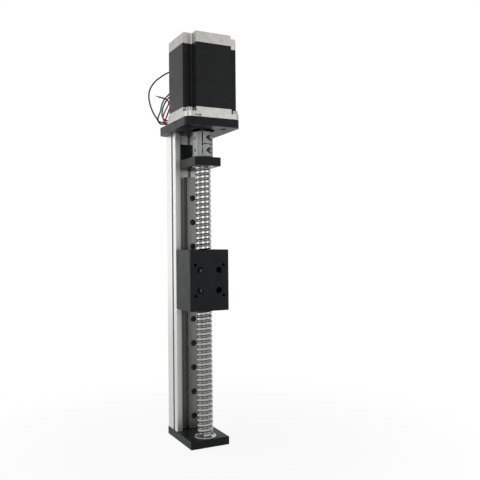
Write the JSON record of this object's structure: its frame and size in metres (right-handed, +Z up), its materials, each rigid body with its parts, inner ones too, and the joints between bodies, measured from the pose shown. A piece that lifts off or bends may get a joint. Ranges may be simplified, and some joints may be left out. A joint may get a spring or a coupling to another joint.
{
  "type": "ball screw linear module",
  "caption": "Upright linear module: a slotted base with a guide rail, a carriage driven by a ball screw between an end plate and a bearing block, and a flanged stepper motor with loose leads.",
  "frame": {"origin": "where the screw's axis meets the bottom face of the end plate", "axes": "+Z up along the screw towards the motor, -Y out of the carriage's working face, +X to the right seen from the front"},
  "size_m": [0.0719, 0.0785, 0.4015],
  "materials": {
    "aluminium_clear": "fine satin, clear anodised",
    "black_anodised": "satin black anodised",
    "steel_ground": "ground and bright",
    "rail_steel": "ground, dark",
    "steel_zinc": "bright zinc plated",
    "steel_black": "black oxide",
    "coupling_grey": "grey anodised, satin",
    "cap_cast": "machined die casting",
    "stator_black": "gloss black paint on laminations",
    "copper": "enamelled copper wire",
    "magnet_grey": "ground laminations",
    "cap_green": "moulded",
    "black_plastic": "moulded",
    "white_plastic": "moulded",
    "black_rubber": "soft",
    "lead_black": "smooth insulation",
    "lead_green": "smooth insulation",
    "lead_red": "smooth insulation",
    "lead_blue": "smooth insulation"
  },
  "bodies": {
    "base": {"base_profile": "aluminium_clear", "guide_rail": "rail_steel", "rail_screws": "steel_zinc", "rail_nuts": "steel_zinc", "end_plate": "black_anodised", "end_plate_screws": "steel_black", "bearing_block": "black_anodised", "bearing_block_screws": "steel_black", "bearing_block_nut": "steel_zinc", "screw_bearing_outer_rings": "steel_ground", "screw_bearing_balls": "steel_ground", "screw_bearing_shields": "steel_zinc", "motor_plate": "black_anodised", "motor_plate_screws": "steel_black", "motor_flange": "cap_cast", "motor_stator": "stator_black", "motor_windings": "copper", "motor_rear_cap": "cap_cast", "motor_tie_screws": "steel_zinc", "motor_screws": "steel_zinc", "motor_bearing_outer_rings": "steel_ground", "motor_bearing_balls": "steel_ground", "lead_grommet": "black_rubber", "lead_black": "lead_black", "lead_green": "lead_green", "lead_red": "lead_red", "lead_red_end": "lead_red", "lead_blue": "lead_blue", "lead_hank": "lead_black", "lead_tie": "black_plastic"},
    "spindle": {"ball_screw": "steel_ground", "screw_bearing_inner_rings": "steel_ground", "screw_spacer": "steel_zinc", "shaft_coupling": "coupling_grey", "coupling_screws": "steel_black", "motor_shaft": "steel_ground", "motor_rotor": "magnet_grey", "motor_bearing_inner_rings": "steel_ground"},
    "carriage": {"carriage_block": "black_anodised", "guide_block": "steel_ground", "guide_block_balls": "steel_ground", "guide_block_end_caps": "cap_green", "guide_block_seals": "black_rubber", "guide_block_cap_screws": "steel_zinc", "guide_block_screws": "steel_black", "ball_nut": "steel_ground", "ball_nut_wipers": "white_plastic", "ball_nut_screws": "steel_black"}
  },
  "joints": [
    {"name": "carriage_slide", "type": "slide", "parent": "base", "child": "carriage", "axis": [0, 0, 1], "range_m": [-0.12, 0.0777]},
    {"name": "screw_spin", "type": "hinge", "parent": "base", "child": "spindle", "pos_m": [0, 0, 0], "axis": [0, 0, 1], "range_deg": [-5600, 8645]}
  ],
  "couplings": [
    {"joint": "screw_spin", "follows": "carriage_slide", "rad_per_m": -1256.6}
  ]
}
